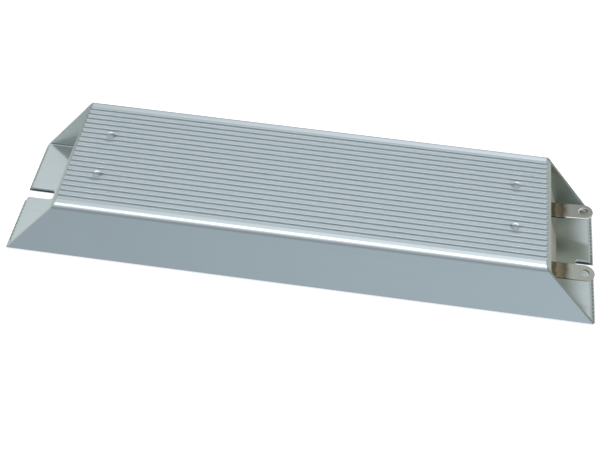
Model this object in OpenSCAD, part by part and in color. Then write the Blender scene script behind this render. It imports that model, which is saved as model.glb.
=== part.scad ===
// Aluminium housed power resistor
// A flat extruded tube with slanted ends holds two wire-wound ceramic cores, cast in filler
// and closed with a cement seal at each mouth. Both terminals leave at the right-hand end.
// Millimetres. X runs along the tube, Y across it, Z up. The origin is the centre of the
// underside, which the ribs and edge pads of the base rest on.

/* [Housing] */
// Length of the base, tip to tip
length = 235; // [180:5:340]
// Width over the side walls
width = 60; // [56:1:90]
// Height from the rib tips of the base to those of the top
height = 30; // [28:0.5:40]
// Angle of the end cuts, measured from the base
end_angle = 51; // [45:1:70]
// Thickness of the side walls
side_wall = 1.6; // [1.2:0.1:2.4]
// Thickness of the top, ribs included
top_wall = 3; // [2.6:0.1:4]
// Thickness of the base, ribs included
base_wall = 2.4; // [2:0.1:3]
// Radius along the upper long edges
top_edge_r = 2.4; // [1:0.1:3]
// Radius along the lower long edges
base_edge_r = 1.5; // [0.5:0.1:2]
// Radius in the inner corners of the tube
cavity_r = 0.6; // [0.4:0.1:2]

/* [Top ribs] */
// Distance from one top groove to the next
top_pitch = 2.7; // [2:0.1:4]
// Width of a top groove
top_groove_w = 1.4; // [0.8:0.1:1.8]
// Depth of a top groove
top_groove_depth = 1; // [0.8:0.1:2]
// Plain strip beside the outermost top grooves
top_margin = 5; // [3.5:0.5:8]

/* [Base ribs] */
// Distance from one base groove to the next
base_pitch = 2; // [1.6:0.1:3]
// Width of a base groove
base_groove_w = 1; // [0.6:0.1:1.3]
// Depth of a base groove and of the centre channel
base_groove_depth = 1.2; // [0.6:0.1:1.5]
// Plain pad along each lower edge
base_margin = 4; // [3:0.5:7]
// Width of the plain channel along the middle of the base
channel_w = 12; // [9:1:16]

/* [Mounting slots] */
// Width of the open slots in the feet
slot_w = 5.4; // [4.5:0.1:7]
// Radius in the inner corners of a slot
slot_r = 1.5; // [0.5:0.1:2.2]
// Depth of the left slot from the tip of the base
slot_depth_left = 11.8; // [7:0.2:13]
// Depth of the right slot from the tip of the base
slot_depth_right = 7.4; // [7:0.2:13]
// Sideways offset of the left slot as punched
slot_shift_left = -0.4; // [-1.5:0.1:1.5]
// Sideways offset of the right slot as punched
slot_shift_right = -2; // [-2.5:0.1:1.5]

/* [Punch marks] */
// Diameter of a punch mark at its rim in the top
mark_d = 3; // [2:0.2:5]
// Diameter of the flat floor of a punch mark
mark_floor_d = 1; // [0.6:0.2:1.8]
// Depth of a punch mark
mark_depth = 0.7; // [0.5:0.1:1.4]
// Distance from the end of the top to the marks
mark_inset = 11.7; // [8:0.5:25]
// Distance between the two marks of a pair
mark_spacing = 22; // [10:1:36]

/* [Terminals] */
// Width of a terminal strip
tab_w = 7.7; // [5:0.1:10]
// Thickness of a terminal strip
tab_t = 0.8; // [0.5:0.1:1.5]
// Diameter of the screw hole
tab_hole_d = 3.5; // [2.5:0.1:4.5]
// Height of the upper face of the terminals above the rest plane
tab_z = 14; // [12:0.5:17]
// Distance between the two terminals and the two cores
tab_spacing = 31.5; // [26:0.5:33]
// Distance from the tip of the base back to the terminal ends
tab_inset = 2.6; // [0.5:0.1:6]
// Inner radius of the bend at the terminal foot
tab_bend_r = 1; // [0.5:0.1:2]
// Height of the foot welded to the core cap
tab_foot_h = 9; // [5:0.5:10]

/* [End seals] */
// Length of bare base between its tip and the foot of a seal
seal_inset = 15; // [13:0.5:22]
// Lean of the outer face of a seal from upright
seal_lean = 20; // [10:1:24]
// Depth of a seal at its foot
seal_depth = 18; // [16:1:26]

/* [Cores] */
// Outer diameter of a ceramic core
core_d = 17; // [12:0.5:19]
// Diameter of the bore through a core
core_bore_d = 7; // [4:0.5:9]
// Filler between the end of a core cap and the seal
core_end_gap = 4; // [3:0.5:10]
// Wall of a core cap
cap_t = 0.8; // [0.5:0.1:1.2]
// Length of a core cap along the core
cap_len = 8; // [5:0.5:14]
// Diameter of the resistance wire
wire_d = 1.2; // [0.6:0.1:1.4]
// Distance from one turn to the next
wire_pitch = 5; // [2.5:0.5:8]
// Width of the strap that joins the cores at the left
link_w = 9; // [5:0.5:12]
// Thickness of the strap
link_t = 1; // [0.6:0.1:1.5]
// Clearance between the cast pieces and what they surround
cast_gap = 0.05; // [0.02:0.01:0.15]

/* [Hidden] */
$fn = 48;
eps = 0.5;                                        // overshoot of every cutting shape
half = length / 2;
cut_run = 1 / tan(end_angle);                     // how far a cut runs back per unit of height
cavity_w = width - 2 * side_wall;
cavity_h = height - top_wall - base_wall;
top_half = half - height * cut_run;               // half length of the top at its upper face
top_groove_n = floor((width - 2 * top_margin) / top_pitch) + 1;
base_groove_n = floor((width / 2 - base_margin - channel_w / 2) / base_pitch);
base_groove_y = (channel_w + 2 * base_pitch - base_groove_w) / 2;  // centre of the innermost
seal_foot_x = half - seal_inset;                  // where the face of a seal meets the base
seal_in_x = seal_foot_x - seal_depth;             // inner end of a seal
core_y = tab_spacing / 2;
core_z = base_wall + cavity_h / 2;
cap_face_x = seal_in_x - core_end_gap;            // outer face of a core cap
core_half = cap_face_x - cap_t;                   // half length of a ceramic core
cap_r = core_d / 2 + cap_t;
cap_mouth_x = cap_face_x - cap_len;
wound_half = cap_mouth_x - wire_pitch / 2;        // half length of the wound stretch
turns = floor(2 * wound_half / wire_pitch);
tape_t = 0.3;                                     // bedding of the wire on the core
wound_r = core_d / 2 + tape_t + wire_d / 2;
tab_tip_x = half - tab_inset;
tab_hole_x = tab_tip_x - tab_w / 2;

// ---------------------------------------------------------------- shared shapes

// Turns a section drawn across the tube (first axis Y, second axis Z) into a bar along X
module along_x(from_x, to_x) {
    translate([from_x, 0, 0]) rotate([90, 0, 90]) linear_extrude(to_x - from_x) children();
}

// Turns a side view (first axis X, second axis Z) into a plate across Y, centred on it
module across_y(plate_w) {
    rotate([90, 0, 0]) linear_extrude(plate_w, center = true) children();
}

// A cylinder along X
module rod_x(from_x, to_x, d) {
    translate([from_x, 0, 0]) rotate([0, 90, 0]) cylinder(h = to_x - from_x, d = d);
}

// Rectangle standing on the first axis, with one radius below and another above
module rounded_section(w, h, r_low, r_high) {
    translate([-w / 2, r_low]) square([w, h - r_low - r_high]);
    translate([-w / 2 + r_low, 0]) square([w - 2 * r_low, h - r_high]);
    translate([-w / 2 + r_high, r_low]) square([w - 2 * r_high, h - r_low]);
    for (side = [-1, 1]) {
        translate([side * (w / 2 - r_low), r_low]) circle(r_low);
        translate([side * (w / 2 - r_high), h - r_high]) circle(r_high);
    }
}

// A groove with a round bottom: open at the first axis, going up
module groove_section(w, depth) {
    translate([-w / 2, -eps]) square([w, depth - w / 2 + eps]);
    translate([0, depth - w / 2]) circle(w / 2);
}

// Inside of the tube, smaller all round by the gap
module cavity_section(gap) {
    translate([0, base_wall + gap])
        rounded_section(cavity_w - 2 * gap, cavity_h - 2 * gap, cavity_r, cavity_r);
}

// The child once for each core, at its axis
module at_core(side) {
    translate([0, side * core_y, core_z]) children();
}

// ---------------------------------------------------------------- housing

// Full cross-section of the extruded tube
module tube_section() {
    difference() {
        rounded_section(width, height, base_edge_r, top_edge_r);
        cavity_section(0);
        for (i = [0 : top_groove_n - 1])
            translate([(i - (top_groove_n - 1) / 2) * top_pitch, height])
                mirror([0, 1]) groove_section(top_groove_w, top_groove_depth);
        for (side = [-1, 1], i = [0 : base_groove_n - 1])
            translate([side * (base_groove_y + i * base_pitch), 0])
                groove_section(base_groove_w, base_groove_depth);
        translate([-channel_w / 2, -eps]) square([channel_w, base_groove_depth + eps]);
    }
}

// Side view of the finished tube: a trapezium, the base longer than the top
module slanted_ends() {
    across_y(width + 2 * eps)
        polygon([
            [-half - eps * cut_run, -eps], [half + eps * cut_run, -eps],
            [top_half - eps * cut_run, height + eps], [-top_half + eps * cut_run, height + eps]
        ]);
}

// Open slot through one foot: side is -1 for the left end and 1 for the right
module mounting_slot(side, depth, shift) {
    inner = half - depth;
    translate([0, shift, -eps]) linear_extrude(base_wall + 2 * eps) mirror([side < 0 ? 1 : 0, 0]) {
        translate([inner + slot_r, -slot_w / 2]) square([depth + eps, slot_w]);
        translate([inner, -slot_w / 2 + slot_r]) square([depth + eps, slot_w - 2 * slot_r]);
        for (s = [-1, 1]) translate([inner + slot_r, s * (slot_w / 2 - slot_r)]) circle(slot_r);
    }
}

// Places of the four punch marks
module at_marks() {
    for (x = [-1, 1], y = [-1, 1])
        translate([x * (top_half - mark_inset), y * mark_spacing / 2, height]) children();
}

// Pit left by the blunt cone of the punch
module punch_pit() {
    spread = (mark_d - mark_floor_d) / mark_depth;  // growth in diameter per unit of height
    translate([0, 0, -mark_depth])
        cylinder(h = mark_depth + eps, d1 = mark_floor_d, d2 = mark_d + spread * eps);
}

module housing() {
    color([0.74, 0.78, 0.79])
    difference() {
        intersection() {
            union() {
                along_x(-half - eps, half + eps) tube_section();
                // metal that the punch crushes into the grooves
                at_marks() translate([0, 0, -top_groove_depth - eps / 2])
                    cylinder(h = top_groove_depth + eps / 2, d = mark_d);
            }
            slanted_ends();
        }
        mounting_slot(-1, slot_depth_left, slot_shift_left);
        mounting_slot(1, slot_depth_right, slot_shift_right);
        at_marks() punch_pit();
    }
}

// ---------------------------------------------------------------- cores and windings

// Ceramic tube, side 1 at the back and -1 at the front
module core(side) {
    color([0.86, 0.84, 0.78])
    at_core(side) difference() {
        rod_x(-core_half, core_half, core_d);
        rod_x(-core_half - eps, core_half + eps, core_bore_d);
    }
}

// Sleeve of resistance wire: one rounded ridge for each turn, on a thin bedding
module winding(side) {
    bed_in = core_d / 2 + cast_gap;
    bed_out = core_d / 2 + tape_t;
    first = -(turns - 1) / 2 * wire_pitch;
    color([0.5, 0.48, 0.46])
    at_core(side) rotate([0, 90, 0]) rotate_extrude() {
        translate([bed_in, -wound_half]) square([bed_out - bed_in, 2 * wound_half]);
        for (i = [0 : turns - 1])
            translate([0, first + i * wire_pitch]) intersection() {
                translate([bed_out, 0]) circle(wire_d / 2, $fn = 24);
                translate([bed_in, -wire_d]) square([wire_d, 2 * wire_d]);
            }
    }
}

// Steel cap pressed over the end of a core: end is -1 at the left and 1 at the right
module core_cap(side, end) {
    color([0.62, 0.63, 0.64])
    at_core(side) mirror([end < 0 ? 1 : 0, 0, 0]) difference() {
        rod_x(cap_mouth_x, cap_face_x, 2 * cap_r);
        rod_x(cap_mouth_x - eps, core_half + cast_gap / 2, core_d + 2 * cast_gap);
    }
}

// Outline of the link strap, larger all round by the gap
module link_outline(gap) {
    for (side = [-1, 1]) translate([side * core_y, core_z]) circle(link_w / 2 + gap);
    translate([-core_y, core_z - link_w / 2 - gap]) square([2 * core_y, link_w + 2 * gap]);
}

// Strap welded across both caps at the left end, which puts the two windings in series
module link_strap() {
    color([0.66, 0.64, 0.6])
    along_x(-cap_face_x - link_t, -cap_face_x) link_outline(0);
}

// ---------------------------------------------------------------- terminals

// Side view of a terminal: strip, bend and upright foot, thicker all round by the gap
module terminal_profile(gap) {
    foot_x = cap_face_x;
    strip_low = tab_z - tab_t;
    bend_x = foot_x + tab_t + tab_bend_r;
    bend_z = tab_z + tab_bend_r;
    translate([bend_x, strip_low - gap]) square([tab_tip_x - bend_x + gap, tab_t + 2 * gap]);
    translate([foot_x, bend_z]) square([tab_t + gap, tab_foot_h - tab_t - tab_bend_r + gap]);
    intersection() {
        translate([bend_x, bend_z]) difference() {
            circle(tab_bend_r + tab_t + gap);
            circle(tab_bend_r - gap);
        }
        translate([foot_x - gap, strip_low - gap])
            square([tab_t + tab_bend_r + gap, tab_t + tab_bend_r + gap]);
    }
}

// Plan of a terminal: straight sides and a round end
module terminal_plan() {
    translate([0, -tab_w / 2]) square([tab_hole_x, tab_w]);
    translate([tab_hole_x, 0]) circle(tab_w / 2);
}

module terminal(side) {
    color([0.68, 0.67, 0.62])
    translate([0, side * core_y, 0]) difference() {
        intersection() {
            across_y(tab_w + 2 * eps) terminal_profile(0);
            linear_extrude(height) terminal_plan();
        }
        translate([tab_hole_x, 0, tab_z - tab_t - eps])
            cylinder(h = tab_t + 2 * eps, d = tab_hole_d);
    }
}

// ---------------------------------------------------------------- cast pieces

// Everything that the filler and the seals flow around
module cast_voids() {
    for (side = [-1, 1]) {
        at_core(side) {
            rod_x(-cap_mouth_x - eps, cap_mouth_x + eps, 2 * (wound_r + cast_gap));
            for (end = [0, 1]) mirror([end, 0, 0])
                rod_x(cap_mouth_x - cast_gap, cap_face_x + cast_gap, 2 * (cap_r + cast_gap));
        }
        translate([0, side * core_y, 0])
            across_y(tab_w + 2 * cast_gap) terminal_profile(cast_gap);
    }
    along_x(-cap_face_x - link_t - cast_gap, -cap_face_x + eps) link_outline(cast_gap);
}

module filling() {
    color([0.8, 0.78, 0.7])
    difference() {
        along_x(-seal_in_x + cast_gap, seal_in_x - cast_gap) cavity_section(cast_gap);
        cast_voids();
    }
}

// Cement plug in a mouth: its face leans back from the foot up to the top plate
module seal(end) {
    lean_run = height * tan(seal_lean);
    foot_run = base_wall * tan(seal_lean);
    color([0.72, 0.7, 0.62])
    difference() {
        intersection() {
            mirror([end < 0 ? 1 : 0, 0, 0]) across_y(width) polygon([
                [seal_in_x, 0], [seal_foot_x + foot_run, 0],
                [seal_foot_x + foot_run - lean_run, height], [seal_in_x, height]
            ]);
            along_x(-half, half) cavity_section(cast_gap);
        }
        cast_voids();
    }
}

// ---------------------------------------------------------------- nodes

housing();
filling();
seal(-1);  // seal_left
seal(1);  // seal_right
core(1);  // core_back
core(-1);  // core_front
winding(1);  // winding_back
winding(-1);  // winding_front
core_cap(1, -1);  // cap_back_left
core_cap(1, 1);  // cap_back_right
core_cap(-1, -1);  // cap_front_left
core_cap(-1, 1);  // cap_front_right
link_strap();
terminal(1);  // terminal_back
terminal(-1);  // terminal_front
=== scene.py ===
"""Looks of an aluminium housed power resistor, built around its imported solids.

X runs along the tube with the terminals at its right-hand end, Y across it and Z up. The
origin is the centre of the underside. Sizes are in metres; MM turns millimetres into them.
"""

import math

import bpy
from bpy.props import FloatProperty, FloatVectorProperty, PointerProperty
from mathutils import Matrix, Vector, noise


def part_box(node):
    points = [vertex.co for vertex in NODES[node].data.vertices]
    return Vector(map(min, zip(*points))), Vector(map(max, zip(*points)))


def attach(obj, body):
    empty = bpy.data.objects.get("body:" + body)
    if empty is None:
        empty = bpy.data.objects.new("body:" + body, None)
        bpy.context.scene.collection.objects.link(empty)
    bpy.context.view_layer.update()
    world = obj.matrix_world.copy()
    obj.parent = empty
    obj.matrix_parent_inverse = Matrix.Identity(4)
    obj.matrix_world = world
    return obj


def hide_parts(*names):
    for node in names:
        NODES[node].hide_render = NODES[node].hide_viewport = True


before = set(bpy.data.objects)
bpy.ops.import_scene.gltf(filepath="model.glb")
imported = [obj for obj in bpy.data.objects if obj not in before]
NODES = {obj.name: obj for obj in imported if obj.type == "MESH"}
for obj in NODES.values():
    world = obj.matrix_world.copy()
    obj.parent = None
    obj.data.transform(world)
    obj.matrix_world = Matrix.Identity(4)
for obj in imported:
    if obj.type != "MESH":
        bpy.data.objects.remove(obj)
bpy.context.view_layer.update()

bl_info = {
    "name": "Aluminium housed power resistor",
    "version": (1, 0, 0),
    "blender": (4, 5, 0),
    "location": "3D View > Sidebar > Resistor",
    "description": "Builds a flat wire-wound resistor in an extruded housing, with its stage",
    "category": "Object",
}

MM = 0.001

# ------------------------------------------------------------------ places taken from the solids

HOUSING_LOW, HOUSING_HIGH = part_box("housing")
LENGTH = HOUSING_HIGH.x - HOUSING_LOW.x
WIDTH = HOUSING_HIGH.y - HOUSING_LOW.y
HEIGHT = HOUSING_HIGH.z
TAB_LOW, TAB_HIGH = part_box("terminal_back")
TAB_Y = (TAB_LOW.y + TAB_HIGH.y) / 2
TAB_TIP = TAB_HIGH.x
TAB_WIDTH = TAB_HIGH.y - TAB_LOW.y
CUT_ANGLE = math.radians(51)
CUT_RUN = 1 / math.tan(CUT_ANGLE)
GROOVED_HALF = 26.2 * MM
TUBE_FLOOR = 2.4 * MM
TUBE_CEILING = 27.0 * MM
TOP_HALF = LENGTH / 2 - HEIGHT * CUT_RUN
MARK_X = TOP_HALF - 11.7 * MM
MARK_Y = 11 * MM
TAB_TOP = 14 * MM
TAB_THICKNESS = 0.8 * MM
SCORCH_REFLECTION_START = 16.8 * MM  # from a terminal's tip back to where its brown tint, heat tint and painted reflection of the seal, is darkest
SIDE_WALL = 1.6 * MM
SEAL_FOOT = LENGTH / 2 - 15 * MM
SEAL_LEAN = math.radians(20)
SLOTS = {-1: (-0.4 * MM, 11.8 * MM), 1: (-2 * MM, 7.4 * MM)}  # sideways shift and depth by end


# ------------------------------------------------------------------ settings that a user changes


def colour(name, description, default):
    return FloatVectorProperty(
        name=name, description=description, default=default, subtype="COLOR", size=3, min=0, max=1
    )


def amount(name, description, default, low=0.0, high=1.0, **kind):
    return FloatProperty(
        name=name, description=description, default=default, min=low, max=high, **kind
    )


class HousingSettings(bpy.types.PropertyGroup):
    metal: colour("Metal", "Colour of the etched aluminium", (0.575, 0.645, 0.675))
    inner_wall_tone: colour("Inner walls", "Colour of the walls inside", (0.685, 0.725, 0.71))
    sawn: colour("Sawn metal", "Colour of the cut faces", (0.60, 0.66, 0.61))
    # Colour of the dark patch beside the right seal: partly real staining, partly painted shade
    # of the right end's inside and a painted reflection of the back terminal.
    stain_and_shade: colour("Stain_and_shade", "Colour of the inside next to the right seal", (0.235, 0.265, 0.225))
    roughness: amount("Roughness", "How matt the extruded faces are", 0.32)
    die_lines: amount("Die lines", "Strength of the fine lines that the die leaves", 0.35)
    edge_break: amount(
        "Edge break", "Width of the broken long edges", 0.12 * MM, 0, 0.3 * MM,
        unit="LENGTH", precision=5,
    )


class CementSettings(bpy.types.PropertyGroup):
    cement: colour("Cement", "Colour of the end seals", (0.425, 0.42, 0.345))
    filler: colour("Filler", "Colour of the filler round the cores", (0.60, 0.57, 0.48))


class TerminalSettings(bpy.types.PropertyGroup):
    steel: colour("Steel", "Colour of the clean steel", (0.34, 0.35, 0.315))
    # Colour of the painted highlight on the back terminal's edge and hole rim.
    edge_highlight: colour("Highlight edge", "Colour of the highlit edges", (0.72, 0.70, 0.66))
    # Darkest brown where the strip leaves the seal: partly heat tint, partly a painted reflection
    # of the seal's dark mouth.
    scorch_and_reflection: colour("Scorch_and_reflection", "Darkest heat tint, next to the seal", (0.085, 0.068, 0.038))
    # How far the brown of heat tint and painted reflection runs out of the seal.
    scorch_and_reflection_reach: amount(
        "Scorch reach", "How far the heat tint runs out of the seal", 6.2 * MM, 0, 15 * MM,
        unit="LENGTH", precision=4,
    )
    lift: amount(
        "Lift", "Angle by which the back terminal is bent up", math.radians(4), 0,
        math.radians(8), subtype="ANGLE",
    )


class StageSettings(bpy.types.PropertyGroup):
    azimuth: amount(
        "Azimuth", "Direction of the camera round the object", math.radians(6.295),
        -math.pi, math.pi, subtype="ANGLE",
    )
    elevation: amount(
        "Elevation", "Height of the camera above the horizon", math.radians(49.413),
        0, math.pi / 2, subtype="ANGLE",
    )
    roll: amount(
        "Roll", "Tilt of the camera about its own axis", math.radians(2.515),
        -math.pi, math.pi, subtype="ANGLE",
    )
    distance: amount(
        "Distance", "From the camera to its aim", 439.2 * MM, 0.1, 5, unit="LENGTH", precision=4
    )
    lens: amount("Lens", "Focal length in millimetres on a 36 mm sensor", 67.16, 10, 300)
    floor: colour("Floor", "Colour of the floor", (0.93, 0.93, 0.93))
    softbox: amount("Softbox", "Power of the overhead softbox in watts", 1.05, 0, 100)


# ------------------------------------------------------------------ shader maths


class Value:
    """A socket's output. Python's operators on it add Math nodes to its graph."""

    def __init__(self, graph, socket):
        self.graph, self.socket = graph, socket

    def _math(self, operation, *operands):
        node = self.graph.add(
            "ShaderNodeMath", {"operation": operation}, dict(enumerate(operands))
        )
        return Value(self.graph, node.outputs[0])

    def __add__(self, other):
        return self._math("ADD", self, other)

    def __sub__(self, other):
        return self._math("SUBTRACT", self, other)

    def __rsub__(self, other):
        return self._math("SUBTRACT", other, self)

    def __mul__(self, other):
        return self._math("MULTIPLY", self, other)

    def __truediv__(self, other):
        return self._math("DIVIDE", self, other)

    __radd__ = __add__
    __rmul__ = __mul__

    def __abs__(self):
        return self._math("ABSOLUTE", self)

    def __pow__(self, power):
        return self._math("POWER", self, power)

    def wave(self):
        return self._math("SINE", self)

    def above(self, least):
        return self._math("MAXIMUM", self, least)

    def step(self, start, end):
        """0 up to start and 1 from end on, with a smooth rise between."""
        node = self.graph.add(
            "ShaderNodeMapRange",
            {"interpolation_type": "SMOOTHSTEP"},
            {"Value": self, "From Min": start, "From Max": end},
        )
        return Value(self.graph, node.outputs[0])

    def band(self, start, end, fade):
        """1 between start and end, fading to 0 on both sides."""
        return self.step(start - fade, start) * (1 - self.step(end, end + fade))


class Graph:
    """A node tree with short ways to add nodes to it."""

    def __init__(self, tree, coordinates, scale):
        self.tree = tree
        place = self.add("ShaderNodeTexCoord").outputs[coordinates]
        self.place = self.vector("SCALE", place, {3: scale})
        axes = self.add("ShaderNodeSeparateXYZ", {}, {0: self.place}).outputs
        self.x, self.y, self.z = (Value(self, axis) for axis in axes)

    def add(self, kind, settings=(), inputs=()):
        node = self.tree.nodes.new(kind)
        for name, setting in dict(settings).items():
            if name == "stops":
                self.set_stops(node.color_ramp, setting)
            else:
                setattr(node, name, setting)
        for name, given in dict(inputs).items():
            self.feed(node.inputs[name], given)
        return node

    @staticmethod
    def set_stops(ramp, stops):
        for index, (position, shade) in enumerate(stops):
            stop = ramp.elements[index] if index < 2 else ramp.elements.new(position)
            stop.position, stop.color = position, (*shade, 1)

    def feed(self, socket, given):
        if isinstance(given, Value):
            given = given.socket
        if isinstance(given, bpy.types.NodeSocket):
            self.tree.links.new(given, socket)
        elif socket.type == "RGBA":
            socket.default_value = (*given, 1)
        else:
            socket.default_value = given

    def vector(self, operation, first, others=()):
        """Vector Math on the place or on a colour."""
        inputs = {0: first, **dict(others)}
        return self.add("ShaderNodeVectorMath", {"operation": operation}, inputs).outputs[0]

    def mix(self, share, first, second):
        """A colour: first where the share is 0 and second where it is 1."""
        node = self.add(
            "ShaderNodeMix", {"data_type": "RGBA"}, {0: share, 6: first, 7: second}
        )
        return node.outputs[2]

    def ramp(self, share, stops):
        return self.add("ShaderNodeValToRGB", {"stops": stops}, {0: share}).outputs[0]

    def shade(self, tint, factor):
        """The colour scaled by a value near 1."""
        return self.vector("SCALE", tint, {3: factor})


class Finish(Graph):
    """A material whose patterns are laid out in millimetres on Object coordinates."""

    def __init__(self, name):
        self.material = bpy.data.materials.new(name)
        self.material.use_nodes = True
        super().__init__(self.material.node_tree, "Object", 1 / MM)
        self.shader = self.tree.nodes["Principled BSDF"]

    def noise(self, scale, detail=3.0, roughness=0.5, stretch=(1, 1, 1)):
        """Noise from 0 to 1 with so many cells a millimetre, stretched along the axes."""
        stretched = self.vector("MULTIPLY", self.place, {1: stretch})
        node = self.add(
            "ShaderNodeTexNoise",
            {"noise_dimensions": "3D"},
            {"Vector": stretched, "Scale": scale, "Detail": detail, "Roughness": roughness},
        )
        return Value(self, node.outputs["Fac"])

    def cells(self, scale):
        """Distance to the nearest of points strewn so many to a millimetre."""
        node = self.add("ShaderNodeTexVoronoi", {}, {"Vector": self.place, "Scale": scale})
        return Value(self, node.outputs["Distance"])

    def bump(self, height, distance, strength=1.0, under=None):
        """A bump of so many millimetres, on top of the one given as under."""
        inputs = {"Height": height, "Distance": distance * MM, "Strength": strength}
        if under:
            inputs["Normal"] = under
        return self.add("ShaderNodeBump", {}, inputs).outputs[0]

    def surface(self, **sockets):
        """Feeds the shader's sockets; an underscore stands for a space in their names."""
        for name, given in sockets.items():
            self.feed(self.shader.inputs[name.replace("_", " ")], given)
        return self.material


# ------------------------------------------------------------------ finishes

# Places in the housing's pattern, in millimetres
HALF = LENGTH / 2 / MM
INNER_WALL = (WIDTH / 2 - SIDE_WALL) / MM
INNER_FLOOR = TUBE_FLOOR / MM
INNER_CORNER = 0.6
RIBS_END, MARGIN_END = GROOVED_HALF / MM, 28.2
TOP_GROOVE, BASE_GROOVE = 1.0, 1.2
BASE_GROOVE_PITCH, FIRST_BASE_GROOVE = 2.0, 7.5
MARK_RADIUS, MARK_BOTTOM = 1.5, 1.4
SLOT_HALF = 2.7
SAW_BOW, SAW_PHASE = 420, 6.3  # flatness of the arcs that the saw leaves, and turns per mm
# Painted shade at the ends of the base's grooves on the left cut face:
MOUTH_TOP = 1.9  # how high the dark mouths of the base's grooves reach
TOP_PLATE = 25
SHADE_START, SHADE_SLOPE, SHADE_END = -115.8, 0.8, -95  # shadow of the back wall at the left
# The dark patch beside the right seal, partly real staining and partly painted shade: the painted
# shade by the back wall and the painted reflection of the back terminal reach further.
STAIN_SHADE_FADE, STAIN_SHADE_START = 11, 0.8  # length over which it fades, and share of HALF
WALL_SHADE_REACH, TAB_REFLECTION_REACH, GAP_SHADE_REACH = 9, 5.5, -3  # how much further it reaches at each place

# Colour factors
WARMED = (1, 1, 0.97)
RIB_DARKENING, MARGIN_LIGHT, MARGIN_RISE = 0.075, 0.06, 0.34
GROOVE_WALL_SHADE, GROOVE_FLOOR_SHADE, BASE_GROOVE_SHADE = 0.86, 0.58, 0.82
MARK_TINT, MARK_SHADOW = 0.78, 0.28
INNER_DARKER, SLOT_WALL_SHADE = 0.66, 0.8
INNER_WALL_LEFT, INNER_WALL_SHADE_FALL = 1.03, 0.07
BASE_LIGHT, SHADE_DEPTH, CORNER_DEPTH = 0.17, 0.5, 0.3
DARKER_CUT_DEPTH, MOUTH_SHADE_DEPTH, LEFT_TOP_DEPTH, RIGHT_CUT_DEPTH = 0.42, 0.85, 0.3, 0.08


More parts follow.
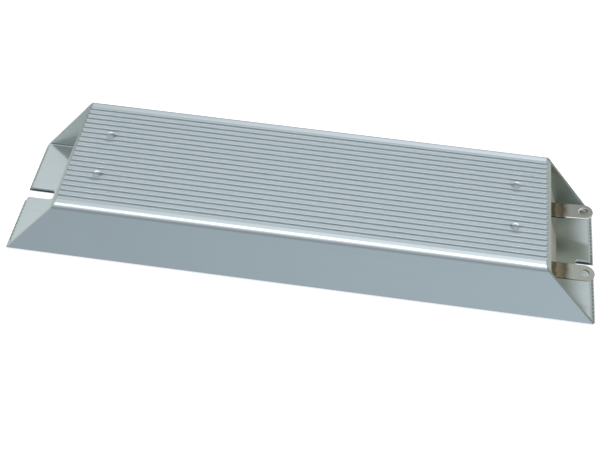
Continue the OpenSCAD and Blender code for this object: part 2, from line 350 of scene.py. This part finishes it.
class Aluminium(Finish):
    """Etched extrusion: draw lines along X, clouding, grooves darkened as painted shade, sawn
    ends, and painted light and shade inside and beside the right seal.
    """

    def __init__(self, settings):
        super().__init__("etched_aluminium")
        self.settings = settings
        x, y, z = self.x, self.y, self.z
        self.lines = self.noise(1.0, 4, 0.6, (0.012, 2.2, 2.2))
        self.fine_lines = self.noise(1.0, 2, 0.5, (0.03, 9.0, 9.0))
        self.clouds = self.noise(0.045, 3, 0.55)
        self.grain = self.noise(5.0, 3, 0.6)
        self.saw_marks = self.noise(2.0, 3, 0.6)
        saw_arc = z / math.sin(CUT_ANGLE) + y * y / SAW_BOW + self.noise(0.6, 2) * 0.5
        self.teeth = (saw_arc * SAW_PHASE).wave()

        self.along = x / (2 * HALF) + 0.5
        self.depth = HEIGHT / MM - z
        self.on_right = x.step(-1, 1)
        self.sawn = (abs(x) + z * CUT_RUN - HALF).step(-0.06, -0.02)
        self.ribbed = 1 - abs(y).step(RIBS_END - 0.2, RIBS_END + 0.1)
        self.top_hollow = (
            self.ribbed * (1 - self.depth.step(TOP_GROOVE + 0.2, TOP_GROOVE + 0.4))
            * self.depth.step(0.05, 0.45)
        )
        self.low_hollow = (
            self.ribbed * (1 - z.step(BASE_GROOVE + 0.1, BASE_GROOVE + 0.3)) * z.step(0.2, 1.1)
        )
        self.hollow = self.top_hollow + self.low_hollow
        self.inside = z.band(INNER_FLOOR - 0.15, TUBE_CEILING / MM + 0.1, 0.1) * (
            1 - abs(y).step(INNER_WALL + 0.1, INNER_WALL + 0.3)
        )
        self.on_base = self.inside * (1 - z.step(INNER_FLOOR + 0.4, INNER_FLOOR + 1.2))
        from_mark = ((abs(x) - MARK_X / MM) ** 2 + (abs(y) - MARK_Y / MM) ** 2) ** 0.5
        self.struck = (1 - from_mark.step(MARK_RADIUS - 0.2, MARK_RADIUS + 0.2)) * (
            1 - self.depth.step(MARK_BOTTOM, MARK_BOTTOM + 0.2)
        )

    def metal(self, factor):
        return self.shade(self.settings.metal, factor)

    def extruded(self):
        """The extruded faces, with painted light and shade: ribs a little darker, margins painted
        lighter towards the right, groove walls and floors painted dark.
        """
        tint = self.metal(0.965 + self.lines * 0.07 + (self.clouds - 0.5) * 0.05)
        top = 1 - self.depth.step(1.2, 1.6)
        # Painted light: the smooth margins lighter, more so towards the right; the ribbed top a
        # little darker.
        margin = (1 - self.ribbed) * top * (
            1 - abs(self.y).step(MARGIN_END, MARGIN_END + 0.8)
        )
        tint = self.shade(
            tint,
            1 - self.ribbed * top * RIB_DARKENING
            + margin * (MARGIN_LIGHT + self.along * MARGIN_RISE),
        )
        # Painted shade in the grooves: the top grooves' walls darker and their floors darker
        # still, the base's grooves almost black.
        walls = GROOVE_WALL_SHADE + self.grain * 0.1 - self.low_hollow * BASE_GROOVE_SHADE
        tint = self.mix(self.hollow, tint, self.metal(walls))
        floors = self.top_hollow * self.depth.step(TOP_GROOVE - 0.18, TOP_GROOVE - 0.05)
        return self.mix(floors, tint, self.metal(GROOVE_FLOOR_SHADE + self.grain * 0.1))

    def with_marks(self, tint):
        """Darkens the punch marks with painted shade, most of all on their sides towards the
        back.
        """
        side = self.y.step(-1, 1) * 2 - 1
        towards_back = (self.y - side * (MARK_Y / MM)).step(0.0, 0.7)
        return self.mix(
            self.struck * (0.5 + towards_back * 0.5), tint,
            self.metal(MARK_TINT - towards_back * MARK_SHADOW + self.grain * 0.15),
        )

    def with_inside(self, tint):
        """Darkens the inside and warms the base, with painted light and shade: the base lighter
        towards the left, a painted shadow of the back wall at the left, inner walls painted
        darker towards the right, and shaded corners.
        """
        x, y, z = self.x, self.y, self.z
        # The inside a little darker than the outside.
        tint = self.mix(self.inside * 0.25, tint, self.metal(INNER_DARKER + self.clouds * 0.2))
        # Painted light and shade on the base: lighter towards the left end, where the light comes
        # from, with the painted shadow of the back wall at the left.
        wall_shade = (y - INNER_WALL + (x - SHADE_START) * SHADE_SLOPE).step(-0.6, 1.4) * (
            1 - x.step(SHADE_END, SHADE_END + 10)
        )
        light = (1 - self.along) * BASE_LIGHT - wall_shade * SHADE_DEPTH
        tint = self.shade(tint, 1 + self.on_base * light)
        tint = self.mix(self.on_base, tint, self.vector("MULTIPLY", tint, {1: WARMED}))
        # The inner walls take a tint of their own, painted darker towards the right as shade of
        # the right end's inside.
        inner_wall_tone = self.shade(
            self.settings.inner_wall_tone,
            INNER_WALL_LEFT - self.along * INNER_WALL_SHADE_FALL + (self.clouds - 0.5) * 0.1,
        )
        on_walls = self.inside * abs(y).step(INNER_WALL - 0.1, INNER_WALL - 0.02)
        tint = self.mix(on_walls, tint, inner_wall_tone)
        # Painted shade along the inner corner fillets.
        past_wall = INNER_WALL - INNER_CORNER
        past_floor = INNER_FLOOR + INNER_CORNER
        corner = (
            self.inside * abs(y).step(past_wall - 0.05, past_wall + 0.05)
            * (1 - z.step(past_floor - 0.05, past_floor + 0.05))
        )
        return self.shade(tint, 1 - corner * CORNER_DEPTH)

    def stain_and_shade(self):
        """Share of the dark patch beside the right seal, and of it behind a terminal: partly real
        staining, partly painted shade of the right end's inside, with painted shade along the
        back wall and a painted reflection of the back terminal.
        """
        x, y = self.x, self.y
        behind_tab = y.band(0, 8, 3)
        reach = (
            y.step(22.5, 26) * WALL_SHADE_REACH + behind_tab * TAB_REFLECTION_REACH
            + y.band(-21, -9, 3) * GAP_SHADE_REACH
        )
        faded = (x + (self.clouds - 0.5) * 3 - reach).step(HALF - STAIN_SHADE_FADE, HALF)
        beside_seal = (x / HALF).step(STAIN_SHADE_START, STAIN_SHADE_START + 0.02)
        return self.on_base * beside_seal * (1 - faded), behind_tab

    def slot_walls(self):
        """1 on the inner walls of the slots punched in the ends of the base."""
        share = 0
        for end, (shift, depth) in SLOTS.items():
            inner = HALF - depth / MM
            share = share + (
                (1 - abs(self.y - shift / MM).step(SLOT_HALF + 0.02, SLOT_HALF + 0.08))
                * (self.x * end).step(inner - 0.1, inner)
            )
        return share * (1 - self.z.step(INNER_FLOOR - 0.06, INNER_FLOOR - 0.02))

    def cut(self):
        """The sawn faces: darker at the right along the walls and low on the base, and at the
        left with the ends of the base's grooves painted dark as shade.
        """
        y, z = self.y, self.z
        # The right cut faces darker along the walls and low on the base.
        at_wall = abs(y).step(INNER_WALL - 0.3, INNER_WALL + 0.1)
        darker_cut = at_wall + (1 - z.step(1.0, 1.4)) * (1 - at_wall)
        darker_cut = darker_cut * self.on_right
        on_left = 1 - self.on_right
        left_top = on_left * z.step(TOP_PLATE, TOP_PLATE + 1) * y.step(-12, 12)
        # Painted shade at the ends of the base's grooves on the left cut face, where the space
        # under the base is in shadow.
        turns = (abs(y) - (FIRST_BASE_GROOVE - BASE_GROOVE_PITCH / 4)) * (
            2 * math.pi / BASE_GROOVE_PITCH
        )
        mouth_shade = turns.wave().step(0.1, 0.4) * self.ribbed * abs(y).step(6.3, 6.5)
        mouth_shade = mouth_shade * on_left * z.band(0.1, MOUTH_TOP, 0.1)
        metal = self.shade(
            self.settings.sawn, 1 - self.on_right * RIGHT_CUT_DEPTH - left_top * LEFT_TOP_DEPTH
        )
        return self.shade(
            metal,
            (0.9 + self.saw_marks * 0.15 + self.teeth * 0.04)
            * (1 - darker_cut * DARKER_CUT_DEPTH) * (1 - mouth_shade * MOUTH_SHADE_DEPTH),
        )

    def relief(self):
        """Die lines, etched grain and saw marks."""
        normal = self.bump(self.lines + self.fine_lines * 0.4, 0.010, self.settings.die_lines)
        normal = self.bump(self.grain, 0.002, 0.5, normal)
        return self.bump((self.teeth * 0.6 + self.saw_marks) * self.sawn, 0.012, 0.5, normal)

    def finished(self):
        """The material, with every pattern laid over the one before."""
        stain_shade_share, behind_tab = self.stain_and_shade()
        tint = self.with_inside(self.with_marks(self.extruded()))
        # The dark patch beside the right seal, partly real staining and partly painted shade, a
        # little lighter where the back terminal is reflected.
        tint = self.mix(
            stain_shade_share, tint,
            self.shade(self.settings.stain_and_shade, 0.85 + self.clouds * 0.3 + behind_tab * 0.12),
        )
        # Painted shade on the inner walls of the slots.
        tint = self.mix(self.slot_walls(), tint, self.metal(SLOT_WALL_SHADE + self.grain * 0.1))
        tint = self.mix(self.sawn, tint, self.cut())
        rough = (
            self.settings.roughness + (self.lines - 0.5) * 0.08 + (self.clouds - 0.5) * 0.06
            + self.hollow * 0.15 + self.sawn * 0.12 - self.inside * 0.06
            + self.struck * 0.25 + stain_shade_share * 0.08
        )
        return self.surface(
            Base_Color=tint, Metallic=1.0, Roughness=rough, Normal=self.relief()
        )


def cement(name, tint, pits=1.0):
    """Cast cement: sandy grain, blotches and small open pores."""
    finish = Finish(name)
    grain = finish.noise(3.2, 4, 0.65)
    blotches = finish.noise(0.16, 3, 0.6)
    sand = finish.cells(2.1).step(0.05, 0.45)
    pores = 1 - finish.cells(0.55).step(0.10, 0.2)
    damp = finish.noise(0.5, 3, 0.5).step(0.42, 0.62)
    base = finish.shade(tint, 0.8 + grain * 0.2 + blotches * 0.2)
    base = finish.mix(damp * 0.25, base, finish.shade(tint, 0.7))
    base = finish.mix(pores * 0.5, base, finish.shade(tint, 0.35))
    normal = finish.bump(grain + sand * 0.5 - pores * pits * 1.5, 0.12, 0.7)
    return finish.surface(Base_Color=base, Roughness=0.82 + grain * 0.15, Normal=normal)


def terminal_steel(settings):
    """Brushed plated steel, brown where the strip leaves the seal: partly heat tint, partly a
    painted reflection of the seal and its dark mouth. The front strip is painted lighter, and the
    back strip carries painted highlights on its edge and hole rim.
    """
    finish = Finish("terminal_steel")
    brushing = finish.noise(1.0, 4, 0.65, (0.25, 7.0, 7.0))
    wavering = finish.noise(0.35, 2, 0.5)
    # The brown zone out of the seal: partly heat tint, partly a painted reflection of the seal
    # and its dark mouth.
    from_seal = finish.x - (TAB_TIP - SCORCH_REFLECTION_START) / MM + (wavering - 0.5) * 2.4
    back = finish.y.step(-5, 5)
    along = from_seal / (settings.scorch_and_reflection_reach / MM * (1.36 - back * 0.09))
    tint = finish.ramp(
        along,
        [
            (0.0, (0.14, 0.12, 0.08)),
            (0.16, settings.scorch_and_reflection),
            (0.30, (0.19, 0.165, 0.11)),
            (0.48, (0.15, 0.12, 0.075)),
            (0.61, (0.095, 0.088, 0.062)),
            (0.72, (0.18, 0.178, 0.15)),
            (0.86, (0.29, 0.295, 0.26)),
            (1.0, settings.steel),
        ],
    )
    # Brushing streaks, and painted light: the front strip lighter than the back one.
    tint = finish.shade(tint, 0.75 + brushing * 0.3 + (1 - back) * 0.24)
    # Painted highlight on the back strip beyond its brown zone: along the front side of the
    # rounded tip's edge, and a crescent at the upper left of its hole.
    tip_radius = TAB_WIDTH / 2 / MM
    past_hole = finish.x - (TAB_TIP / MM - tip_radius)
    across = abs(finish.y) - TAB_Y / MM
    from_middle = (past_hole.above(0) ** 2 + across ** 2) ** 0.5
    from_hole = (past_hole ** 2 + across ** 2) ** 0.5
    rim = from_middle.step(tip_radius - 0.42, tip_radius - 0.22)
    from_axis = finish.y - TAB_Y / MM
    on_front_edge = 1 - from_axis.step(-0.5, 0.5)
    upper_left = (from_axis - past_hole).step(0.2, 1.2)
    rim = rim * on_front_edge + (1 - from_hole.step(1.95, 2.2)) * upper_left
    bright = rim * along.step(0.65, 0.85) * back
    tint = finish.mix(bright, tint, finish.shade(settings.edge_highlight, 0.9 + brushing * 0.2))
    rough = 0.30 + brushing * 0.14 + (1 - along.step(0.5, 0.8)) * 0.12
    normal = finish.bump(brushing, 0.02, 0.35)
    return finish.surface(Base_Color=tint, Metallic=1.0, Roughness=rough, Normal=normal)


def plain_metal(name, tint, rough, stretch):
    """A drawn or pressed metal with fine lines along one axis."""
    finish = Finish(name)
    lines = finish.noise(1.0, 3, 0.6, stretch)
    clouds = finish.noise(0.2, 2)
    base = finish.shade(tint, 0.85 + lines * 0.2 + clouds * 0.1)
    normal = finish.bump(lines, 0.015, 0.3)
    return finish.surface(
        Base_Color=base, Metallic=1.0, Roughness=rough + lines * 0.12, Normal=normal
    )


def ceramic():
    """Unglazed ceramic of the cores."""
    finish = Finish("core_ceramic")
    grain = finish.noise(4.0, 3, 0.6)
    clouds = finish.noise(0.12, 3)
    base = finish.shade((0.80, 0.77, 0.69), 0.88 + grain * 0.1 + clouds * 0.12)
    normal = finish.bump(grain, 0.03, 0.4)
    return finish.surface(Base_Color=base, Roughness=0.62 + grain * 0.15, Normal=normal)


def dress(node, material):
    """Gives a solid that is kept its finish."""
    slots = NODES[node].material_slots
    if slots:
        for slot in slots:
            slot.material = material
    else:
        NODES[node].data.materials.append(material)


# ------------------------------------------------------------------ modelling helpers

SAME_POINT = 0.0005 * MM
FLAT, SHARP, SMOOTH = (math.radians(angle) for angle in (0.2, 30, 40))


def deselect():
    if bpy.context.object and bpy.context.object.mode != "OBJECT":
        bpy.ops.object.mode_set(mode="OBJECT")
    bpy.ops.object.select_all(action="DESELECT")


def activate(piece):
    deselect()
    piece.select_set(True)
    bpy.context.view_layer.objects.active = piece


def extent(piece, axis):
    """Lowest and highest place of a piece along one axis."""
    places = [vertex.co[axis] for vertex in piece.data.vertices]
    return min(places), max(places)


def merged_copy(node, name, reach=SAME_POINT):
    """A copy of a solid with its loose triangles merged into flat faces."""
    piece = bpy.data.objects.new(name, NODES[node].data.copy())
    bpy.context.scene.collection.objects.link(piece)
    piece.data.materials.clear()
    activate(piece)
    bpy.ops.mesh.customdata_custom_splitnormals_clear()
    bpy.ops.object.mode_set(mode="EDIT")
    bpy.ops.mesh.select_all(action="SELECT")
    bpy.ops.mesh.remove_doubles(threshold=reach)
    bpy.ops.mesh.dissolve_limited(angle_limit=FLAT)
    bpy.ops.object.mode_set(mode="OBJECT")
    return piece


def slice_across(piece, places, normal=(1, 0, 0)):
    """Adds a loop of edges at each place along the normal."""
    activate(piece)
    bpy.ops.object.mode_set(mode="EDIT")
    for place in places:
        bpy.ops.mesh.select_all(action="SELECT")
        bpy.ops.mesh.bisect(plane_co=Vector(normal) * place, plane_no=normal)
    bpy.ops.object.mode_set(mode="OBJECT")


def break_edges(piece, width, chosen=lambda start, end: True, segments=2):
    """Bevels the sharp edges whose two ends are chosen."""
    activate(piece)
    bpy.ops.object.mode_set(mode="EDIT")
    bpy.ops.mesh.select_mode(type="EDGE")
    bpy.ops.mesh.select_all(action="DESELECT")
    bpy.ops.mesh.edges_select_sharp(sharpness=SHARP)
    bpy.ops.object.mode_set(mode="OBJECT")
    points = [vertex.co for vertex in piece.data.vertices]
    for edge in piece.data.edges:
        edge.select = edge.select and chosen(*(points[index] for index in edge.vertices))
    bpy.ops.object.mode_set(mode="EDIT")
    bpy.ops.mesh.bevel(offset=width, segments=segments, affect="EDGES", clamp_overlap=False)
    bpy.ops.object.mode_set(mode="OBJECT")


def finish_piece(piece, material, slot, *nodes):
    """Smooths a piece, gives it its finish and lets it stand for its solid."""
    activate(piece)
    bpy.ops.object.shade_smooth_by_angle(angle=SMOOTH)
    modifier = piece.modifiers.new("even_shading", "WEIGHTED_NORMAL")
    modifier.keep_sharp = True
    modifier.weight = 100  # large faces decide, so flat ribs stay flat between the slices
    bpy.ops.object.modifier_apply(modifier=modifier.name)
    piece.data.materials.append(material)
    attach(piece, "root")
    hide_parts(*nodes)


# ------------------------------------------------------------------ operators

# Brightness of the studio from straight down, at 0, through the horizon to straight up, at 1
FRONT_SKY = (
    (0.0, (0.60, 0.65, 0.68)),
    (0.36, (0.56, 0.61, 0.645)),
    (0.50, (0.32, 0.33, 0.34)),
    (0.75, (0.52, 0.53, 0.54)),
    (0.88, (0.78, 0.79, 0.80)),
    (1.0, (1.5, 1.53, 1.55)),
)
BACK_SKY = (
    (0.0, (0.60, 0.63, 0.65)),
    (0.40, (0.56, 0.59, 0.61)),
    (0.50, (0.52, 0.54, 0.55)),
    (0.75, (0.72, 0.73, 0.73)),
    (0.88, (0.79, 0.795, 0.80)),
    (0.94, (1.05, 1.10, 1.13)),
    (1.0, (1.5, 1.53, 1.55)),
)


CAMERA_RAY_LIGHT = (1.05, 1.05, 1.05)
CAMERA_AIM = Vector((-0.07, -16.02, 14.84)) * MM
SOFTBOX_PLACE = Vector((0, -0.02, 0.62))
SOFTBOX_SIZE = (0.9, 0.22)
FLOOR_SIZE = 12
FLOOR_DROP = 0.05 * MM  # keeps the floor just clear of the underside
FLOOR_GLOW = 0.55


class RESISTOR_OT_stage(bpy.types.Operator):
    """Lays the floor, lights the studio and sets up the camera"""

    bl_idname = "resistor.stage"
    bl_label = "Stage"

    def execute(self, context):
        settings = context.scene.resistor_stage
        self.floor(settings)
        self.surroundings(context.scene)
        self.softbox(context.scene, settings)
        self.camera(context.scene, settings)
        context.scene.view_settings.view_transform = "Standard"
        return {"FINISHED"}

    def floor(self, settings):
        """White paper that glows a little, with a painted shadow under the part that reaches just
        past its right end and leaves the slots lit.
        """
        deselect()
        bpy.ops.mesh.primitive_grid_add(x_subdivisions=1, y_subdivisions=1, size=FLOOR_SIZE)
        floor = bpy.context.object
        floor.name = "studio_floor"
        floor.location.z = -FLOOR_DROP
        finish = Finish("floor_paper")
        fibres = finish.noise(0.5, 3)
        tint = finish.shade(settings.floor, 0.99 + fibres * 0.02)
        half_width = WIDTH / 2 / MM
        # Painted shadow on the floor under the part, fading out just past its right end.
        painted_shadow = (
            (1 - finish.x.step(HALF - 0.2, HALF + 0.9)) * finish.x.step(-HALF - 0.1, 0.25 - HALF)
            * (1 - abs(finish.y).step(half_width - 1.6, half_width - 1))
        )
        slots = 0
        for end, (shift, depth) in SLOTS.items():
            inner = HALF - depth / MM
            slots = slots + (finish.x * end).step(inner, inner + 0.4) * (
                1 - abs(finish.y - shift / MM).step(2.45 - end * 0.15, 2.9 - end * 0.2)
            )
        lit = 1 - painted_shadow * (1 - slots)
        finish.surface(
            Base_Color=finish.shade(tint, 0.2 + 0.8 * lit), Roughness=0.9, Specular_IOR_Level=0.0,
            Emission_Color=finish.shade((1, 1, 1), lit), Emission_Strength=FLOOR_GLOW,
        )
        floor.data.materials.append(finish.material)
        floor.visible_glossy = False

    def surroundings(self, scene):
        """Bright above and behind the object, dim at the horizon in front of it."""
        world = bpy.data.worlds.new("studio")
        world.use_nodes = True
        scene.world = world
        sky = Graph(world.node_tree, "Generated", 1)
        rise = (sky.z + 1) / 2
        behind = sky.y.step(-0.35, 0.35)
        light = sky.mix(behind, sky.ramp(rise, FRONT_SKY), sky.ramp(rise, BACK_SKY))
        # stronger to the right in front and to both sides behind, below the horizon only
        aside = sky.x * 0.46 * (1 - behind) + abs(sky.x) * 0.5 * behind
        light = sky.shade(light, 1 + aside * (1 - sky.z.step(-0.4, 0.1)))
        light = sky.shade(light, 1 - sky.x * sky.x * 0.5 * sky.z.step(-0.1, 0.3))
        seen = sky.add("ShaderNodeLightPath").outputs["Is Camera Ray"]
        background = world.node_tree.nodes["Background"]
        sky.feed(background.inputs["Color"], sky.mix(seen, light, CAMERA_RAY_LIGHT))

    def softbox(self, scene, settings):
        """A long lamp overhead, which draws the bright line along the front edge of the top."""
        light = bpy.data.lights.new("softbox", "AREA")
        light.shape = "RECTANGLE"
        light.size, light.size_y = SOFTBOX_SIZE
        light.energy = settings.softbox
        lamp = bpy.data.objects.new("softbox", light)
        lamp.location = SOFTBOX_PLACE
        lamp.rotation_euler = (-SOFTBOX_PLACE).to_track_quat("-Z", "Y").to_euler()
        lamp.visible_camera = False
        scene.collection.objects.link(lamp)

    def camera(self, scene, settings):
        data = bpy.data.cameras.new("camera")
        data.lens, data.sensor_width = settings.lens, 36
        data.clip_start, data.clip_end = 0.01, 50
        camera = bpy.data.objects.new("camera", data)
        turn = (
            Matrix.Rotation(settings.azimuth, 4, "Z")
            @ Matrix.Rotation(math.pi / 2 - settings.elevation, 4, "X")
        )
        place = Matrix.Translation(CAMERA_AIM + turn @ Vector((0, 0, settings.distance)))
        camera.matrix_world = place @ turn @ Matrix.Rotation(settings.roll, 4, "Z")
        scene.collection.objects.link(camera)
        scene.camera = camera


# How a punch mark pulls the ribs round it, at distances from its centre
MARK_RINGS = (0.4, 0.8, 1.2, 1.6, 2.2, 2.9, 3.7, 4.8)  # slices across the ribs, in millimetres
MARK_CLEAR = 2.6 * MM  # edges nearer than this stay sharp
MARK_REACH = 6 * MM
MARK_BED = 2 * MM  # deepest point that moves, below the top
MARK_CENTRE = 0.2 * MM  # nearer than this nothing is pushed sideways
SINK_DEPTH, SINK_REACH = 0.16 * MM, 2.2 * MM
SPREAD, SPREAD_AT, SPREAD_REACH = 0.25 * MM, 1.8 * MM, 1.2 * MM


class RESISTOR_OT_housing(bpy.types.Operator):
    """Makes the extruded housing: broken edges, and ribs drawn down round the punch marks"""

    bl_idname = "resistor.housing"
    bl_label = "Housing"

    def execute(self, context):
        settings = context.scene.resistor_housing
        shell = merged_copy("housing", "housing_shell")
        marks = [Vector((x, y, HEIGHT)) for x in (-MARK_X, MARK_X) for y in (-MARK_Y, MARK_Y)]
        slice_across(
            shell,
            [
                side * MARK_X + turn * ring * MM
                for side in (-1, 1) for turn in (-1, 1) for ring in MARK_RINGS
            ],
        )

        def away_from_marks(*ends):
            return all((point - mark).length > MARK_CLEAR for point in ends for mark in marks)

        break_edges(shell, settings.edge_break, away_from_marks)
        self.draw_down(shell, marks)
        finish_piece(shell, Aluminium(settings).finished(), "housing", "housing")
        return {"FINISHED"}

    def draw_down(self, shell, marks):
        """Sinks and spreads the ribs round each mark, as the punch does."""
        for vertex in shell.data.vertices:
            if vertex.co.z < HEIGHT - MARK_BED:
                continue
            for mark in marks:
                away = vertex.co.xy - mark.xy
                reach = away.length
                if reach > MARK_REACH:
                    continue
                vertex.co.z -= SINK_DEPTH * math.exp(-((reach / SINK_REACH) ** 2))
                spread = SPREAD * math.exp(-(((reach - SPREAD_AT) / SPREAD_REACH) ** 2))
                if reach > MARK_CENTRE:
                    vertex.co.y += spread * away.y / reach


TAB_MERGE = 0.05 * MM  # points of a strip nearer than this become one
ROLLED_EDGE, BURRED_EDGE, HOLE_EDGE = 0.36 * MM, 0.08 * MM, 0.06 * MM
TAB_BEND = 15.5 * MM  # from the tip back to where the bend starts


class RESISTOR_OT_terminals(bpy.types.Operator):
    """Makes both terminals: strips with broken edges, the back one bent up a little"""

    bl_idname = "resistor.terminals"
    bl_label = "Terminals"

    def execute(self, context):
        settings = context.scene.resistor_terminals
        steel = terminal_steel(settings)
        for side, sign, lift in (("back", 1, settings.lift), ("front", -1, 0.0)):
            strip = merged_copy("terminal_" + side, "terminal_strip_" + side, TAB_MERGE)
            self.round_edges(strip, Vector((TAB_TIP - TAB_WIDTH / 2, sign * TAB_Y)), sign)
            self.bend_up(strip, lift)
            finish_piece(strip, steel, "terminal", "terminal_" + side)
        return {"FINISHED"}

    def round_edges(self, strip, hole, rolled):
        """Rounds the edges as blanking does: widely on one side, hardly on the other."""
        middle = TAB_TOP - TAB_THICKNESS / 2

        def on_side(side, near_hole):
            return lambda start, end: all(
                (point.z - middle) * side > 0
                and abs(point.z - middle) < TAB_THICKNESS * 0.6
                and ((point.xy - hole).length < TAB_WIDTH * 0.3) == near_hole
                for point in (start, end)
            )

        for side in (1, -1):
            width = ROLLED_EDGE if side == rolled else BURRED_EDGE
            break_edges(strip, HOLE_EDGE, on_side(side, True))
            break_edges(strip, width, on_side(side, False), 3)

    def bend_up(self, strip, lift):
        """Bends the free end up in small steps just outside the seal."""
        steps = [TAB_TIP - TAB_BEND + step * MM for step in range(4)]
        slice_across(strip, steps)
        if not lift:
            return
        for place in steps:
            for vertex in strip.data.vertices:
                if vertex.co.x > place:
                    pivot = Vector((place, vertex.co.y, TAB_TOP))
                    turn = Matrix.Rotation(-lift / len(steps), 3, "Y")
                    vertex.co = pivot + turn @ (vertex.co - pivot)


SEAL_CELL = 0.9 * MM  # side of the squares that a seal's face is cut into
SEAL_HELD = 2.5 * MM  # how far in from its rim the face moves less
ON_FACE = 0.05 * MM


class RESISTOR_OT_castings(bpy.types.Operator):
    """Casts the end seals with uneven faces, and gives the filler its cement"""

    bl_idname = "resistor.castings"
    bl_label = "Seals and filler"

    def execute(self, context):
        settings = context.scene.resistor_cement
        seal_cement = cement("seal_cement", settings.cement)
        for side, end in (("left", -1), ("right", 1)):
            seal = merged_copy("seal_" + side, "seal_cast_" + side)
            self.grid_face(seal)
            self.roughen(seal, end)
            finish_piece(seal, seal_cement, "seal", "seal_" + side)
        dress("filling", cement("sand_filler", settings.filler, 1.4))
        return {"FINISHED"}

    def grid_face(self, seal):
        """Cuts the leaning face into small squares."""
        for axis, normal in ((1, (0, 1, 0)), (2, (0, 0, 1))):
            low, high = extent(seal, axis)
            cells = range(int((high - low) / SEAL_CELL))
            slice_across(seal, [low + (cell + 0.5) * SEAL_CELL for cell in cells], normal)

    def roughen(self, seal, end):
        """Moves the face in and out as a trowelled cement face is."""
        outward = Vector((end * math.cos(SEAL_LEAN), 0, math.sin(SEAL_LEAN)))
        foot = Vector((end * SEAL_FOOT, 0, TUBE_FLOOR))
        for vertex in seal.data.vertices:
            depth = (vertex.co - foot).dot(outward)
            if abs(depth) > ON_FACE:
                continue
            from_rim = min(
                WIDTH / 2 - SIDE_WALL - abs(vertex.co.y), vertex.co.z - TUBE_FLOOR,
                TUBE_CEILING - vertex.co.z,
            )
            free = min(1.0, max(0.0, from_rim / SEAL_HELD))
            place = vertex.co / MM
            swell = noise.noise(place * 0.16) * 0.5 + noise.noise(place * 0.55) * 0.22
            vertex.co += outward * (free * (swell * 0.9 - 0.5) * MM)


class RESISTOR_OT_cores(bpy.types.Operator):
    """Gives the cores, windings, caps and strap inside the filler their finishes"""

    bl_idname = "resistor.cores"
    bl_label = "Cores and windings"

    def execute(self, context):
        tube = ceramic()
        wire = plain_metal("resistance_wire", (0.36, 0.34, 0.32), 0.38, (6, 0.4, 0.4))
        pressed = plain_metal("cap_steel", (0.58, 0.58, 0.57), 0.34, (1, 5, 5))
        strip = plain_metal("strap_steel", (0.62, 0.60, 0.55), 0.36, (4, 0.3, 4))
        for side in ("back", "front"):
            dress("core_" + side, tube)
            dress("winding_" + side, wire)
            for end in ("left", "right"):
                dress(f"cap_{side}_{end}", pressed)
        dress("link_strap", strip)
        return {"FINISHED"}


class RESISTOR_PT_panel(bpy.types.Panel):
    """Lists the pieces and what a user can set on them"""

    bl_label = "Resistor"
    bl_idname = "RESISTOR_PT_panel"
    bl_space_type = "VIEW_3D"
    bl_region_type = "UI"
    bl_category = "Resistor"

    def draw(self, context):
        for operator, group in BUILD_ORDER:
            box = self.layout.box()
            box.operator(operator.bl_idname)
            if group:
                settings = getattr(context.scene, group)
                for name in settings.bl_rna.properties.keys():
                    if name not in ("rna_type", "name"):
                        box.prop(settings, name)


GROUPS = {
    "resistor_housing": HousingSettings,
    "resistor_cement": CementSettings,
    "resistor_terminals": TerminalSettings,
    "resistor_stage": StageSettings,
}
BUILD_ORDER = (
    (RESISTOR_OT_stage, "resistor_stage"),
    (RESISTOR_OT_housing, "resistor_housing"),
    (RESISTOR_OT_terminals, "resistor_terminals"),
    (RESISTOR_OT_castings, "resistor_cement"),
    (RESISTOR_OT_cores, None),
)


def register():
    for name, group in GROUPS.items():
        bpy.utils.register_class(group)
        setattr(bpy.types.Scene, name, PointerProperty(type=group))
    for operator, _ in BUILD_ORDER:
        bpy.utils.register_class(operator)
    bpy.utils.register_class(RESISTOR_PT_panel)


def unregister():
    bpy.utils.unregister_class(RESISTOR_PT_panel)
    for operator, _ in reversed(BUILD_ORDER):
        bpy.utils.unregister_class(operator)
    for name, group in reversed(GROUPS.items()):
        delattr(bpy.types.Scene, name)
        bpy.utils.unregister_class(group)


def main():
    register()
    for operator, _ in BUILD_ORDER:
        category, name = operator.bl_idname.split(".")
        getattr(getattr(bpy.ops, category), name)()


if __name__ == "__main__":
    main()
